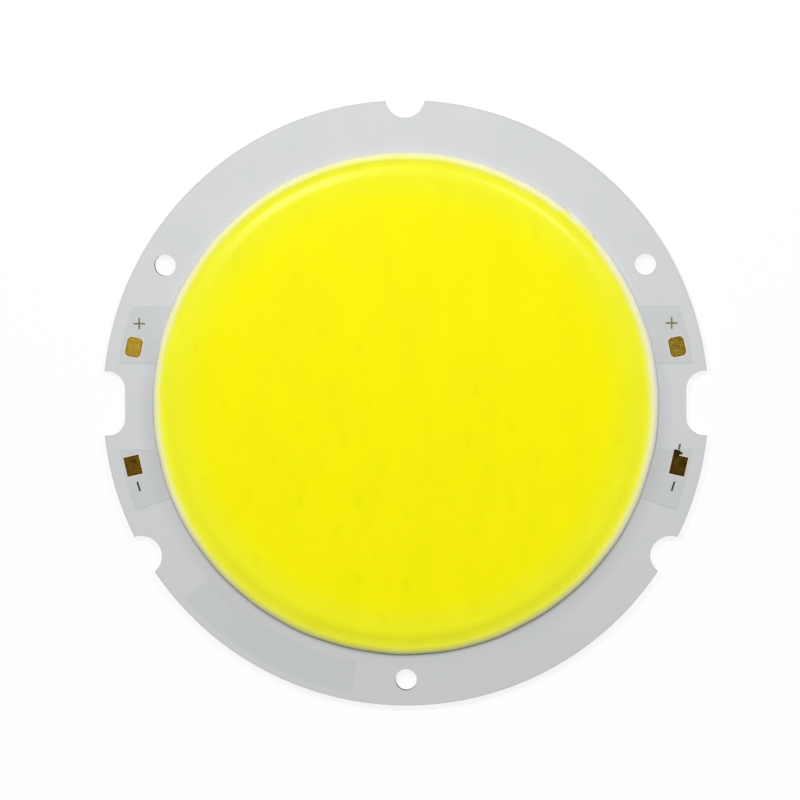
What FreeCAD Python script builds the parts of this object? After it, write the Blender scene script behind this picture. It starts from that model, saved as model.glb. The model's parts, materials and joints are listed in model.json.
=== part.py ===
import FreeCAD, Part
import math
import os

import Sketcher

os.makedirs("parts", exist_ok=True)
doc = FreeCAD.newDocument("cob_led")

# Driving dimensions in millimetres and degrees. The board lies flat with its back face at z = 0,
# its centre on the Z axis and its positive pads towards +Y.
SIZES = {
    # Aluminium board and the layers on it
    "board_diameter": 76.0,
    "base_thickness": 1.5,
    "dielectric_thickness": 0.10,
    "copper_thickness": 0.07,
    "mask_thickness": 0.05,
    "mask_side_cover": 0.06,
    # Screw holes and the open scallops in the rim between them
    "screw_count": 3,
    "screw_hole_diameter": 2.7,
    "screw_rim_margin": 3.25,
    "scallop_diameter": 5.1,
    "scallop_centre_outset": 0.35,
    # Locating notches at the two sides, cut as slots that break out through the rim
    "notch_count": 2,
    "notch_depth": 2.8,
    "notch_corner_radius": 2.3,
    "notch_length": 8.2,
    # White silicone dam, with its start and finish laid side by side
    "dam_rim_margin": 6.4,
    "dam_width": 1.5,
    "dam_height": 0.78,
    "dam_overlap_start": 41.5,
    "dam_overlap_sweep": 8.0,
    "dam_overlap_offset": 0.30,
    # Phosphor gel: level in the middle, rounded down to the dam at its edge
    "gel_height": 0.80,
    "gel_shoulder_reach": 1.7,
    "gel_shoulder_radius": 5.8,
    # LED chips on concentric rings, with one chip at the top of each ring
    "ring_count": 6,
    "chip_edge_margin": 2.92,
    "ring_chip_growth": 5,
    "chips_in_string": 10,
    "string_tilt": 16.0,
    "chip_width": 0.50,
    "chip_length": 1.15,
    "chip_thickness": 0.15,
    "joint_width": 0.40,
    "joint_length": 0.40,
    "joint_spacing": 0.72,
    "land_margin": 0.05,
    # Copper rails under the dam, and the tabs that bring them out to the pads
    "rail_dam_cover": 0.4,
    "rail_width": 2.5,
    "rail_gap": 2.0,
    "tab_rim_margin": 1.7,
    "plus_tab_bottom": 5.1,
    "plus_tab_top": 12.25,
    "minus_tab_top": 5.7,
    "minus_tab_corner": 12.4,
    "minus_tab_slope": 19.0,
    # Gold-plated pads at the ends of the tabs, square to the radius through each
    "plus_pad_rim_margin": 3.22,
    "minus_pad_rim_margin": 2.9,
    "pad_width": 1.95,
    "pad_length": 2.45,
    "pad_plating_thickness": 0.03,
    "plus_pad_corner_radius": 0.5,
    "plus_pad_angle": 11.8,
    "minus_pad_angle": 12.8,
    "bridge_width": 0.80,
    "bridge_length": 0.66,
    "bridge_bump": 0.32,
    # Printed polarity marks
    "mark_thickness": 0.02,
    "mark_line_width": 0.22,
    "plus_mark_size": 1.45,
    "plus_mark_rim_margin": 3.15,
    "plus_mark_angle": 16.8,
    "minus_mark_length": 1.25,
    "minus_mark_rim_margin": 2.9,
    "minus_mark_angle": 17.2,
}

sheet = doc.addObject("Spreadsheet::Sheet", "Sizes")
for row, (alias, value) in enumerate(SIZES.items(), start=1):
    sheet.set(f"A{row}", alias)
    sheet.set(f"B{row}", str(value))
    sheet.setAlias(f"B{row}", alias)
doc.recompute()

# Heights of the faces that the layers share, as expressions on the sheet
DIELECTRIC_BOTTOM = "Sizes.base_thickness"
COPPER_BOTTOM = f"({DIELECTRIC_BOTTOM} + Sizes.dielectric_thickness)"
COPPER_TOP = f"({COPPER_BOTTOM} + Sizes.copper_thickness)"
MASK_LOW_TOP = f"({COPPER_BOTTOM} + Sizes.mask_thickness)"
MASK_HIGH_TOP = f"({COPPER_TOP} + Sizes.mask_thickness)"

# Radii that follow from the board's rim, as expressions on the sheet
RIM = "(Sizes.board_diameter / 2)"
SCREW_CENTRE = f"({RIM} - Sizes.screw_rim_margin)"
SCALLOP_CENTRE = f"({RIM} + Sizes.scallop_centre_outset)"
NOTCH_FLOOR = f"({RIM} - Sizes.notch_depth)"
TAB_OUTER = f"({RIM} - Sizes.tab_rim_margin)"
DAM_OUTER = f"({RIM} - Sizes.dam_rim_margin)"
DAM_INNER = f"({DAM_OUTER} - Sizes.dam_width)"
DAM_MIDDLE = f"({DAM_OUTER} - Sizes.dam_width / 2)"
RAIL_OUTER = f"({DAM_OUTER} - Sizes.rail_dam_cover)"
RAIL_INNER = f"({RAIL_OUTER} - Sizes.rail_width)"
RAIL_MIDDLE = f"({RAIL_OUTER} - Sizes.rail_width / 2)"
GEL_LEVEL = f"({DAM_INNER} - Sizes.gel_shoulder_reach)"
RING_PITCH = f"(({DAM_INNER} - Sizes.chip_edge_margin) / Sizes.ring_count)"


def size(alias):
    """The number in a cell of the sheet."""
    return float(sheet.get(alias))


def value(expression):
    """The number that an expression on the sheet comes to."""
    return float(sheet.evalExpression(expression))


copper_bottom = value(COPPER_BOTTOM)
copper_top = value(COPPER_TOP)
mask_top = value(MASK_HIGH_TOP)


def origin_feature(body, role):
    """An origin plane or axis of a body, by its role."""
    return next(item for item in body.Origin.OriginFeatures if item.Role == role)


def new_body(label):
    body = doc.addObject("PartDesign::Body", label)
    body.Label = label
    return body


def new_sketch(body, name, plane="XY_Plane", height="0"):
    """A sketch on one of the body's own origin planes, lifted by an expression."""
    sketch = body.newObject("Sketcher::SketchObject", f"{body.Name}_{name}")
    sketch.AttachmentSupport = [(origin_feature(body, plane), "")]
    sketch.MapMode = "FlatFace"
    if height != "0":
        sketch.setExpression("AttachmentOffset.Base.z", height)
    return sketch


def drive(sketch, constraint, expression):
    """Adds a dimension to a sketch and binds it to the sheet."""
    index = sketch.addConstraint(constraint)
    sketch.setExpression(f"Constraints[{index}]", expression)


def add_circle(sketch, y, radius, y_expression, radius_expression):
    """A circle centred on the sketch's Y axis."""
    circle = sketch.addGeometry(Part.Circle(FreeCAD.Vector(0, y, 0), FreeCAD.Vector(0, 0, 1), radius))
    sketch.addConstraint(Sketcher.Constraint("PointOnObject", circle, 3, -2))
    drive(sketch, Sketcher.Constraint("DistanceY", -1, 1, circle, 3, y), y_expression)
    drive(sketch, Sketcher.Constraint("Radius", circle, radius), radius_expression)


def add_rectangle(sketch, width, length, width_expression, length_expression):
    """A rectangle centred on the sketch's origin."""
    corners = [(-width / 2, -length / 2), (width / 2, -length / 2)]
    corners += [(width / 2, length / 2), (-width / 2, length / 2)]
    points = [FreeCAD.Vector(x, y, 0) for x, y in corners]
    first = sketch.addGeometry(Part.LineSegment(points[0], points[1]))
    for step in range(1, 4):
        sketch.addGeometry(Part.LineSegment(points[step], points[(step + 1) % 4]))
    for step in range(4):
        sketch.addConstraint(Sketcher.Constraint("Coincident", first + step, 2, first + (step + 1) % 4, 1))
    sketch.addConstraint(Sketcher.Constraint("Horizontal", first))
    sketch.addConstraint(Sketcher.Constraint("Vertical", first + 1))
    sketch.addConstraint(Sketcher.Constraint("Horizontal", first + 2))
    sketch.addConstraint(Sketcher.Constraint("Vertical", first + 3))
    sketch.addConstraint(Sketcher.Constraint("Symmetric", first, 1, first + 1, 2, -1, 1))
    drive(sketch, Sketcher.Constraint("DistanceX", first, 1, first, 2, width), width_expression)
    drive(sketch, Sketcher.Constraint("DistanceY", first + 1, 1, first + 1, 2, length), length_expression)


def add_pad(body, sketch, length_expression):
    pad = body.newObject("PartDesign::Pad", f"{sketch.Name}_pad")
    pad.Profile = sketch
    pad.setExpression("Length", length_expression)
    return pad


def add_pocket_pattern(body, sketch, count_expression):
    """Cuts a sketch up through the whole body and repeats the cut evenly about the Z axis."""
    pocket = body.newObject("PartDesign::Pocket", f"{sketch.Name}_pocket")
    pocket.Profile = sketch
    pocket.Type = "ThroughAll"
    pocket.Reversed = True
    pattern = body.newObject("PartDesign::PolarPattern", f"{sketch.Name}_pattern")
    pattern.Originals = [pocket]
    pattern.Axis = (origin_feature(body, "Z_Axis"), [""])
    pattern.Angle = 360
    pattern.setExpression("Occurrences", count_expression)
    body.Tip = pattern
    return pattern


def board_layer(label, bottom, thickness):
    """A round layer of the board with the screw holes, rim scallops and side notches cut through."""
    body = new_body(label)
    outline = new_sketch(body, "outline", height=bottom)
    add_circle(outline, 0, value(RIM), "0", RIM)
    add_pad(body, outline, thickness)

    # One scallop is at the top of the board
    scallop = new_sketch(body, "scallop", height=bottom)
    add_circle(scallop, value(SCALLOP_CENTRE), size("scallop_diameter") / 2,
               SCALLOP_CENTRE, "Sizes.scallop_diameter / 2")
    add_pocket_pattern(body, scallop, "Sizes.screw_count")

    # One screw hole is at the bottom of the board, opposite the top scallop
    hole = new_sketch(body, "screw_hole", height=bottom)
    add_circle(hole, -value(SCREW_CENTRE), size("screw_hole_diameter") / 2,
               f"-{SCREW_CENTRE}", "Sizes.screw_hole_diameter / 2")
    add_pocket_pattern(body, hole, "Sizes.screw_count")

    # Each notch is a slot along Y whose inner side is the notch's floor
    notch = new_sketch(body, "notch", height=bottom)
    add_notch(notch)
    add_pocket_pattern(body, notch, "Sizes.notch_count")
    return body


def add_notch(sketch):
    """The slot of the notch at +X: two half circles joined by two lines along Y."""
    radius = size("notch_corner_radius")
    middle = value(NOTCH_FLOOR) + radius
    reach = size("notch_length") / 2 - radius
    up = FreeCAD.Vector(0, 0, 1)
    upper_centre = FreeCAD.Vector(middle, reach, 0)
    lower_centre = FreeCAD.Vector(middle, -reach, 0)
    upper = sketch.addGeometry(Part.ArcOfCircle(Part.Circle(upper_centre, up, radius), 0, math.pi))
    floor = sketch.addGeometry(Part.LineSegment(
        FreeCAD.Vector(middle - radius, reach, 0), FreeCAD.Vector(middle - radius, -reach, 0)))
    lower = sketch.addGeometry(Part.ArcOfCircle(
        Part.Circle(lower_centre, up, radius), math.pi, 2 * math.pi))
    outer = sketch.addGeometry(Part.LineSegment(
        FreeCAD.Vector(middle + radius, -reach, 0), FreeCAD.Vector(middle + radius, reach, 0)))
    loop = [upper, floor, lower, outer]
    for step in range(4):
        sketch.addConstraint(Sketcher.Constraint("Tangent", loop[step], 2, loop[(step + 1) % 4], 1))
    sketch.addConstraint(Sketcher.Constraint("Vertical", floor))
    sketch.addConstraint(Sketcher.Constraint("Symmetric", upper, 3, lower, 3, -1))
    drive(sketch, Sketcher.Constraint("Radius", upper, radius), "Sizes.notch_corner_radius")
    drive(sketch, Sketcher.Constraint("DistanceX", -1, 1, upper, 3, middle),
          f"{NOTCH_FLOOR} + Sizes.notch_corner_radius")
    drive(sketch, Sketcher.Constraint("DistanceY", lower, 3, upper, 3, 2 * reach),
          "Sizes.notch_length - 2 * Sizes.notch_corner_radius")


def cylinder(label, radius, bottom, height):
    item = doc.addObject("Part::Cylinder", label)
    item.setExpression("Radius", radius)
    item.setExpression("Height", height)
    item.setExpression("Placement.Base.z", bottom)
    return item


def block(label, corner, lengths):
    """A box from expressions for its lowest corner and its three lengths."""
    item = doc.addObject("Part::Box", label)
    for axis, expression in zip("xyz", corner):
        item.setExpression(f"Placement.Base.{axis}", expression)
    for side, expression in zip(("Length", "Width", "Height"), lengths):
        item.setExpression(side, expression)
    return item


def combine(kind, label, pieces):
    """A boolean or compound of several objects."""
    item = doc.addObject(f"Part::{kind}", label)
    item.Label = label
    if kind in ("MultiFuse", "MultiCommon"):
        item.Shapes = pieces
        item.Refine = True
    elif kind == "Compound":
        item.Links = pieces
    else:
        item.Base, item.Tool = pieces
    return item


def solid_group(label, shapes):
    """Several like solids that share one node."""
    item = doc.addObject("Part::Feature", label)
    item.Label = label
    item.Shape = Part.makeCompound(shapes)
    return item


# Base plate and dielectric
base_plate = board_layer("base_plate", "0 mm", "Sizes.base_thickness")
dielectric_layer = board_layer("dielectric_layer", DIELECTRIC_BOTTOM, "Sizes.dielectric_thickness")


# Where the chips sit, and which ten of them make each string in series
def chip_centres():
    """One chip in the middle, then evenly spaced rings that each start at the top."""
    centres = [(0.0, 0.0)]
    for ring in range(1, round(size("ring_count")) + 1):
        count = round(size("ring_chip_growth")) * ring - 1
        for place in range(count):
            angle = math.radians(90 + 360 * place / count)
            radius = ring * value(RING_PITCH)
            centres.append((radius * math.cos(angle), radius * math.sin(angle)))
    return centres


def chip_strings():
    """Strips of ten chips, tilted from upright, each listed from its top chip to its bottom one."""
    tilt = math.radians(size("string_tilt"))

    def across(at):
        return at[0] * math.cos(tilt) + at[1] * math.sin(tilt)

    def along(at):
        return at[1] * math.cos(tilt) - at[0] * math.sin(tilt)

    ordered = sorted(chip_centres(), key=across)
    length = round(size("chips_in_string"))
    strips = [ordered[start:start + length] for start in range(0, len(ordered), length)]
    return [sorted(strip, key=along, reverse=True) for strip in strips]


def chip_block(centre, width, length, bottom, height, shift=0.0):
    """A block centred on a chip, or shifted from its centre along Y."""
    corner = FreeCAD.Vector(centre[0] - width / 2, centre[1] + shift - length / 2, bottom)
    return Part.makeBox(width, length, height, corner)


land_width = size("joint_width") + 2 * size("land_margin")
land_length = size("joint_length") + 2 * size("land_margin")
joint_shift = size("joint_spacing") / 2


def land_corners(centre, side):
    """Corners of the copper land under a chip's upper (side 1) or lower (side -1) joint."""
    x, y = centre[0], centre[1] + side * joint_shift
    across = (-land_width / 2, land_width / 2)
    along = (-land_length / 2, land_length / 2)
    return [(x + dx, y + dy) for dx in across for dy in along]


def hull(points):
    """The outline round a set of points, anticlockwise."""
    def half(ordered):
        chain = []
        for point in ordered:
            while len(chain) > 1 and turn(chain[-2], chain[-1], point) <= 0:
                chain.pop()
            chain.append(point)
        return chain[:-1]

    ordered = sorted(points)
    return half(ordered) + half(ordered[::-1])


def turn(first, second, third):
    """Positive where the way from the first point to the third bends left at the second."""
    ahead = (second[0] - first[0]) * (third[1] - first[1])
    across = (second[1] - first[1]) * (third[0] - first[0])
    return ahead - across


def copper_track(points):
    """A flat track of copper that covers the given points."""
    outline = [FreeCAD.Vector(x, y, copper_bottom) for x, y in hull(points)]
    face = Part.Face(Part.makePolygon(outline + outline[:1]))
    return face.extrude(FreeCAD.Vector(0, 0, size("copper_thickness")))


def rail_feed(centre, side):
    """A track that runs straight outwards from the last land of a string to the rail beyond it."""
    land = (centre[0], centre[1] + side * joint_shift)
    stretch = value(RAIL_MIDDLE) / math.hypot(*land)
    end = (land[0] * stretch, land[1] * stretch)
    half = size("land_margin") + size("joint_width") / 2
    return copper_track(land_corners(centre, side) + [
        (end[0] + dx, end[1] + dy) for dx in (-half, half) for dy in (-half, half)])


strings = chip_strings()
chip_nodes, joint_nodes, link_nodes = [], [], []
for number, string in enumerate(strings, start=1):
    chip_nodes.append(solid_group(f"led_chips_string_{number}", [
        chip_block(at, size("chip_width"), size("chip_length"), mask_top, size("chip_thickness"))
        for at in string]))
    joint_nodes.append(solid_group(f"solder_joints_string_{number}", [
        chip_block(at, size("joint_width"), size("joint_length"), copper_top,
                   size("mask_thickness"), side * joint_shift)
        for at in string for side in (1, -1)]))
    link_nodes.append(solid_group(f"copper_links_string_{number}", [
        copper_track(land_corners(upper, -1) + land_corners(lower, 1))
        for upper, lower in zip(string, string[1:])]))

# Positive and negative rails: half rings with a tab to each pad
FAR = "Sizes.board_diameter"


def ring(label, inner, outer, bottom, height):
    return combine("Cut", label, [
        cylinder(f"{label}_outside", outer, bottom, height),
        cylinder(f"{label}_inside", inner, bottom, height)])


def plus_tab_area(label, bottom, height, cover):
    """Copper tabs to the positive pads: a level strip of a disc, wider all round by a cover."""
    disc = cylinder(f"{label}_disc", f"{TAB_OUTER} + {cover}", bottom, height)
    strip = block(f"{label}_strip",
                  (f"-{FAR}", f"Sizes.plus_tab_bottom - {cover}", bottom),
                  (f"2 * {FAR}", f"Sizes.plus_tab_top - Sizes.plus_tab_bottom + 2 * {cover}", height))
    return combine("MultiCommon", label, [disc, strip])


def minus_tab_area(label, bottom, height, cover):
    """Copper tabs to the negative pads: level at the top, sloping down outwards at the bottom."""
    disc = cylinder(f"{label}_disc", f"{TAB_OUTER} + {cover}", bottom, height)
    strip = block(f"{label}_strip",
                  (f"-{FAR}", f"-Sizes.minus_tab_top + {cover} - {FAR}", bottom),
                  (f"2 * {FAR}", FAR, height))
    band = combine("MultiCommon", f"{label}_band", [disc, strip])
    tabs = [above_slope(f"{label}_{hand}", side, band, bottom, height, cover)
            for hand, side in (("left", -1), ("right", 1))]
    return combine("Compound", label, tabs)


def above_slope(label, side, band, bottom, height, cover):
    """One side of a band, above the line that slopes down and outwards from the rail."""
    slope = block(f"{label}_slope",
                  (f"{side} * {RAIL_OUTER} - {FAR} * cos(Sizes.minus_tab_slope * 1 deg)",
                   f"{side} * {FAR} * sin(Sizes.minus_tab_slope * 1 deg) - Sizes.minus_tab_corner"
                   f" - {cover} / cos(Sizes.minus_tab_slope * 1 deg)", bottom),
                  (f"2 * {FAR}", FAR, height))
    slope.Placement.Rotation = FreeCAD.Rotation(FreeCAD.Vector(0, 0, 1), 1)
    slope.setExpression("Placement.Rotation.Angle", f"{-side} * Sizes.minus_tab_slope")
    half = block(f"{label}_half", (f"({side} - 1) / 2 * {FAR}", f"-{FAR}", bottom), (FAR, FAR, height))
    return combine("MultiCommon", label, [band, slope, half])


def half_rail(label, lowest_y):
    """The half of the rail ring that lies above the given height along Y."""
    whole = ring(f"{label}_ring", RAIL_INNER, RAIL_OUTER, COPPER_BOTTOM, "Sizes.copper_thickness")
    side = block(f"{label}_side", (f"-{FAR}", lowest_y, COPPER_BOTTOM),
                 (f"2 * {FAR}", FAR, "Sizes.copper_thickness"))
    return combine("MultiCommon", label, [whole, side])


def outer_tabs(label, area):
    """The part of a tab area outside the middle of the rail."""
    middle = cylinder(f"{label}_hub", RAIL_MIDDLE, COPPER_BOTTOM, "Sizes.copper_thickness")
    return combine("Cut", label, [area, middle])


plus_feeds = solid_group("plus_feeds", [rail_feed(string[0], 1) for string in strings])
minus_feeds = solid_group("minus_feeds", [rail_feed(string[-1], -1) for string in strings])
plus_tabs = outer_tabs("plus_tabs", plus_tab_area(
    "plus_tab_copper", COPPER_BOTTOM, "Sizes.copper_thickness", "0"))
minus_tabs = outer_tabs("minus_tabs", minus_tab_area(
    "minus_tab_copper", COPPER_BOTTOM, "Sizes.copper_thickness", "0"))
copper_plus_rail = combine("MultiFuse", "copper_plus_rail", [
    half_rail("plus_half_ring", "Sizes.rail_gap / 2"), plus_tabs, plus_feeds])
copper_minus_rail = combine("MultiFuse", "copper_minus_rail", [
    half_rail("minus_half_ring", f"-Sizes.rail_gap / 2 - {FAR}"), minus_tabs, minus_feeds])


# Gold-plated pads and the windows for them in the mask
def pad_body(label, side, sign, height, bridge=False):
    """A pad's outline raised to a height: side 1 is right and -1 left, sign 1 is positive."""
    polarity = "plus" if sign > 0 else "minus"
    body = new_body(label)
    outline = new_sketch(body, "outline")
    add_rectangle(outline, size("pad_width"), size("pad_length"), "Sizes.pad_width", "Sizes.pad_length")
    pad = add_pad(body, outline, height)
    if sign > 0:
        doc.recompute()
        upright = [f"Edge{number}" for number, edge in enumerate(pad.Shape.Edges, start=1)
                   if abs(edge.tangentAt(edge.FirstParameter).z) > 0.9]
        fillet = body.newObject("PartDesign::Fillet", f"{label}_corners")
        fillet.Base = (pad, upright)
        fillet.setExpression("Radius", "Sizes.plus_pad_corner_radius")
        body.Tip = fillet
    if bridge:
        add_bridge(body, height)
    angle = f"Sizes.{polarity}_pad_angle * {side * sign}"
    turn_angle = angle if side > 0 else f"180 + {angle}"
    centre = f"({RIM} - Sizes.{polarity}_pad_rim_margin)"
    body.Placement.Rotation = FreeCAD.Rotation(FreeCAD.Vector(0, 0, 1), 1)
    body.setExpression("Placement.Rotation.Angle", turn_angle)
    body.setExpression("Placement.Base.x", f"{centre} * cos(({turn_angle}) * 1 deg)")
    body.setExpression("Placement.Base.y", f"{centre} * sin(({turn_angle}) * 1 deg)")
    body.setExpression("Placement.Base.z", COPPER_TOP)
    return body


def add_bridge(body, height):
    """A stub of plated copper off the inner half of a pad's upper edge, with a bump on its outer side."""
    stub = new_sketch(body, "bridge")
    add_rectangle(stub, size("bridge_width"), 2 * size("bridge_length"),
                  "Sizes.bridge_width", "2 * Sizes.bridge_length")
    stub.setExpression("AttachmentOffset.Base.x", "(Sizes.bridge_width - Sizes.pad_width) / 2")
    stub.setExpression("AttachmentOffset.Base.y", "Sizes.pad_length / 2")
    add_pad(body, stub, height)
    bump = new_sketch(body, "bridge_bump")
    add_rectangle(bump, 2 * size("bridge_bump"), size("bridge_bump"),
                  "2 * Sizes.bridge_bump", "Sizes.bridge_bump")
    bump.setExpression("AttachmentOffset.Base.x", "Sizes.bridge_width - Sizes.pad_width / 2")
    bump.setExpression("AttachmentOffset.Base.y", "(Sizes.pad_length + Sizes.bridge_length) / 2")
    body.Tip = add_pad(body, bump, height)


PADS = (("plus", "left", -1, 1), ("plus", "right", 1, 1), ("minus", "left", -1, -1), ("minus", "right", 1, -1))
pad_nodes, windows = [], []
for polarity, hand, side, sign in PADS:
    bridged = (polarity, hand) == ("minus", "right")
    pad_nodes.append(pad_body(f"{polarity}_pad_{hand}", side, sign, "Sizes.pad_plating_thickness", bridged))
    windows.append(pad_body(f"{polarity}_window_{hand}", side, sign, "2 * Sizes.mask_thickness", bridged))

# White solder mask: thin over the dielectric, stepped up over the disc and tabs of copper
mask_sheet = board_layer("mask_sheet", COPPER_BOTTOM, "Sizes.mask_thickness")
RAISED = "Sizes.copper_thickness + Sizes.mask_thickness"
raised_mask = [
    cylinder("raised_disc", f"{RAIL_OUTER} + Sizes.mask_side_cover", COPPER_BOTTOM, RAISED),
    plus_tab_area("raised_plus_tabs", COPPER_BOTTOM, RAISED, "Sizes.mask_side_cover"),
    minus_tab_area("raised_minus_tabs", COPPER_BOTTOM, RAISED, "Sizes.mask_side_cover"),
]
mask_blank = combine("MultiFuse", "mask_blank", [mask_sheet] + raised_mask)
mask_cuts = combine("Compound", "mask_cuts", [
    copper_plus_rail, copper_minus_rail] + link_nodes + joint_nodes + windows)
solder_mask = combine("Cut", "solder_mask", [mask_blank, mask_cuts])


# Polarity marks printed on the mask
def place_mark(item, side, angle, radius, turn_angle):
    item.Placement.Rotation = FreeCAD.Rotation(FreeCAD.Vector(0, 0, 1), 1)
    item.setExpression("Placement.Rotation.Angle", turn_angle)
    item.setExpression("Placement.Base.x", f"{side} * {radius} * cos({angle} * 1 deg)")
    item.setExpression("Placement.Base.y", f"{radius} * sin({angle} * 1 deg)")
    item.setExpression("Placement.Base.z", MASK_HIGH_TOP)


def mark_bar(body, name, length_expression, length, upright):
    """A printed line through the mark's centre, along X or upright along Y."""
    sketch = new_sketch(body, name)
    width_expression = "Sizes.mark_line_width"
    if upright:
        add_rectangle(sketch, size("mark_line_width"), length, width_expression, length_expression)
    else:
        add_rectangle(sketch, length, size("mark_line_width"), length_expression, width_expression)
    body.Tip = add_pad(body, sketch, "Sizes.mark_thickness")


mark_nodes = []
for hand, side in (("left", -1), ("right", 1)):
    plus = new_body(f"plus_mark_{hand}")
    mark_bar(plus, "level_bar", "Sizes.plus_mark_size", size("plus_mark_size"), False)
    mark_bar(plus, "upright_bar", "Sizes.plus_mark_size", size("plus_mark_size"), True)
    place_mark(plus, side, "Sizes.plus_mark_angle", f"({RIM} - Sizes.plus_mark_rim_margin)", "0")
    minus = new_body(f"minus_mark_{hand}")
    mark_bar(minus, "bar", "Sizes.minus_mark_length", size("minus_mark_length"), True)
    place_mark(minus, side, "(-Sizes.minus_mark_angle)", f"({RIM} - Sizes.minus_mark_rim_margin)",
               f"{-side} * Sizes.minus_mark_angle")
    mark_nodes += [plus, minus]


# Silicone dam: a rounded bead laid on the mask, level with the thin mask at its outer foot
def bead(label, shift):
    """The bead's section on the XZ plane, moved out from the ring's own place by a shift."""
    body = new_body(label)
    section = new_sketch(body, "section", plane="XZ_Plane")
    inner = value(DAM_INNER)
    width = size("dam_width")
    height = size("dam_height")
    bottom = copper_bottom + size("mask_thickness")
    radius = (width ** 2 / 4 + height ** 2) / (2 * height)
    centre = FreeCAD.Vector(inner + width / 2, bottom + height - radius, 0)
    start = math.atan2(bottom - centre.y, width / 2)
    crown = Part.Circle(centre, FreeCAD.Vector(0, 0, 1), radius)
    arc = section.addGeometry(Part.ArcOfCircle(crown, start, math.pi - start))
    foot = section.addGeometry(Part.LineSegment(
        FreeCAD.Vector(inner, bottom, 0), FreeCAD.Vector(inner + width, bottom, 0)))
    section.addConstraint(Sketcher.Constraint("Coincident", arc, 2, foot, 1))
    section.addConstraint(Sketcher.Constraint("Coincident", arc, 1, foot, 2))
    section.addConstraint(Sketcher.Constraint("Horizontal", foot))
    drive(section, Sketcher.Constraint("DistanceX", -1, 1, foot, 1, inner), f"{DAM_INNER} + {shift}")
    drive(section, Sketcher.Constraint("DistanceX", foot, 1, foot, 2, width), "Sizes.dam_width")
    drive(section, Sketcher.Constraint("DistanceY", -1, 1, foot, 1, bottom), MASK_LOW_TOP)
    bead_radius = "(Sizes.dam_width ^ 2 / 4 + Sizes.dam_height ^ 2) / (2 * Sizes.dam_height)"
    drive(section, Sketcher.Constraint("DistanceY", -1, 1, arc, 3, centre.y),
          f"{MASK_LOW_TOP} + Sizes.dam_height - {bead_radius}")
    turned = body.newObject("PartDesign::Revolution", f"{label}_turned")
    turned.Profile = section
    turned.ReferenceAxis = (section, ["V_Axis"])
    body.Tip = turned
    return body, turned


dam_bead, full_turn = bead("dam_bead", "0")
full_turn.Angle = 360
dam_tail, tail_turn = bead("dam_tail", "Sizes.dam_overlap_offset")
tail_turn.setExpression("Angle", "Sizes.dam_overlap_sweep")
dam_tail.Placement.Rotation = FreeCAD.Rotation(FreeCAD.Vector(0, 0, 1), 1)
dam_tail.setExpression("Placement.Rotation.Angle", "Sizes.dam_overlap_start")
dam_blank = combine("MultiFuse", "dam_blank", [dam_bead, dam_tail])
dam_ring = combine("Cut", "dam_ring", [dam_blank, mask_blank])

# Phosphor gel: fills the dam and covers the chips
gel_blank = new_body("gel_blank")
gel_section = new_sketch(gel_blank, "section", plane="XZ_Plane")
gel_top = mask_top + size("gel_height")
gel_level = value(GEL_LEVEL)
gel_shoulder = size("gel_shoulder_radius")
gel_edge = value(DAM_MIDDLE)
shoulder_centre = FreeCAD.Vector(gel_level, gel_top - gel_shoulder, 0)
shoulder_start = math.acos((gel_edge - gel_level) / gel_shoulder)
edge_top = shoulder_centre.y + gel_shoulder * math.sin(shoulder_start)
floor_line = gel_section.addGeometry(Part.LineSegment(
    FreeCAD.Vector(0, mask_top, 0), FreeCAD.Vector(gel_edge, mask_top, 0)))
edge_line = gel_section.addGeometry(Part.LineSegment(
    FreeCAD.Vector(gel_edge, mask_top, 0), FreeCAD.Vector(gel_edge, edge_top, 0)))
shoulder_arc = gel_section.addGeometry(Part.ArcOfCircle(
    Part.Circle(shoulder_centre, FreeCAD.Vector(0, 0, 1), gel_shoulder), shoulder_start, math.pi / 2))
level_line = gel_section.addGeometry(Part.LineSegment(
    FreeCAD.Vector(gel_level, gel_top, 0), FreeCAD.Vector(0, gel_top, 0)))
axis_line = gel_section.addGeometry(Part.LineSegment(
    FreeCAD.Vector(0, gel_top, 0), FreeCAD.Vector(0, mask_top, 0)))
gel_loop = [floor_line, edge_line, shoulder_arc, level_line, axis_line]
for first, second in zip(gel_loop, gel_loop[1:] + gel_loop[:1]):
    gel_section.addConstraint(Sketcher.Constraint("Coincident", first, 2, second, 1))
gel_section.addConstraint(Sketcher.Constraint("Horizontal", floor_line))
gel_section.addConstraint(Sketcher.Constraint("Vertical", edge_line))
gel_section.addConstraint(Sketcher.Constraint("Horizontal", level_line))
gel_section.addConstraint(Sketcher.Constraint("PointOnObject", axis_line, 1, -2))
gel_section.addConstraint(Sketcher.Constraint("PointOnObject", axis_line, 2, -2))
drive(gel_section, Sketcher.Constraint("DistanceY", -1, 1, floor_line, 1, mask_top), MASK_HIGH_TOP)
drive(gel_section, Sketcher.Constraint("DistanceX", floor_line, 1, floor_line, 2, gel_edge), DAM_MIDDLE)
drive(gel_section, Sketcher.Constraint("DistanceY", axis_line, 2, axis_line, 1, size("gel_height")),
      "Sizes.gel_height")
drive(gel_section, Sketcher.Constraint("DistanceX", level_line, 2, level_line, 1, gel_level), GEL_LEVEL)
drive(gel_section, Sketcher.Constraint("DistanceX", -1, 1, shoulder_arc, 3, gel_level), GEL_LEVEL)
drive(gel_section, Sketcher.Constraint("Radius", shoulder_arc, gel_shoulder), "Sizes.gel_shoulder_radius")
gel_turned = gel_blank.newObject("PartDesign::Revolution", "gel_turned")
gel_turned.Profile = gel_section
gel_turned.ReferenceAxis = (gel_section, ["V_Axis"])
gel_turned.Angle = 360
gel_blank.Tip = gel_turned
gel_cuts = combine("Compound", "gel_cuts", [dam_ring] + chip_nodes)
phosphor_gel = combine("Cut", "phosphor_gel", [gel_blank, gel_cuts])

doc.recompute()

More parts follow.
